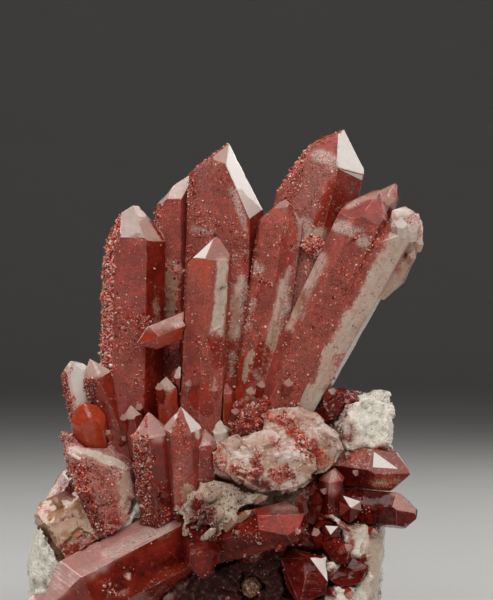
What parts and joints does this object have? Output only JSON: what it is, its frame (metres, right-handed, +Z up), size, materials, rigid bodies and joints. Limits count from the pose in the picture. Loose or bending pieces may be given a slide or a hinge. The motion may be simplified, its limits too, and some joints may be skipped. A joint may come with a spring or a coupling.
{
  "type": "hematoid quartz crystal cluster in matrix",
  "caption": "Fan of red, iron-stained quartz crystals growing from a rough milky rock base that is sawn flat so that it stands.",
  "frame": {"origin": "on the sawn base, under the middle of the group's width", "axes": "+Z up out of the sawn base, -Y towards the front, +X to the viewer's right seen from the front"},
  "size_m": [0.0897, 0.0644, 0.1149],
  "materials": {
    "red_quartz": "vitreous faces, stained brick red, with a sparkling crust of tiny crystals in patches",
    "pale_quartz": "milky to pinkish beige, vitreous",
    "matrix_rock": "rough, milky greenish white with red and brown staining"
  },
  "bodies": {
    "root": {"tall_fan": "red_quartz", "left_tower": "red_quartz", "long_crossing_point": "red_quartz", "front_spears": "red_quartz", "pale_lumps": "pale_quartz", "low_bar": "red_quartz", "hanging_point": "red_quartz", "right_upper_point": "red_quartz", "right_lower_point": "red_quartz", "left_trio": "red_quartz", "left_block": "red_quartz", "side_twig": "red_quartz", "foot_point_a": "red_quartz", "foot_point_b": "red_quartz", "foot_point_c": "red_quartz", "foot_point_d": "red_quartz", "right_stub_pair": "red_quartz", "right_tiny_point": "red_quartz", "right_dark_point": "red_quartz", "shelf_bar": "red_quartz", "corner_stub": "red_quartz", "corner_wedge": "red_quartz", "recess_nub": "pale_quartz", "left_low_point": "red_quartz", "back_point_a": "red_quartz", "back_point_b": "red_quartz", "back_point_m": "red_quartz", "back_point_c": "red_quartz", "back_point_d": "red_quartz", "back_point_e": "red_quartz", "back_point_f": "red_quartz", "back_point_g": "red_quartz", "back_point_h": "red_quartz", "back_point_i": "red_quartz", "back_point_j": "red_quartz", "back_point_k": "red_quartz", "back_point_l": "red_quartz", "side_point_left": "red_quartz", "side_point_right": "red_quartz", "drusy_knot": "pale_quartz", "matrix": "matrix_rock"}
  },
  "joints": []
}
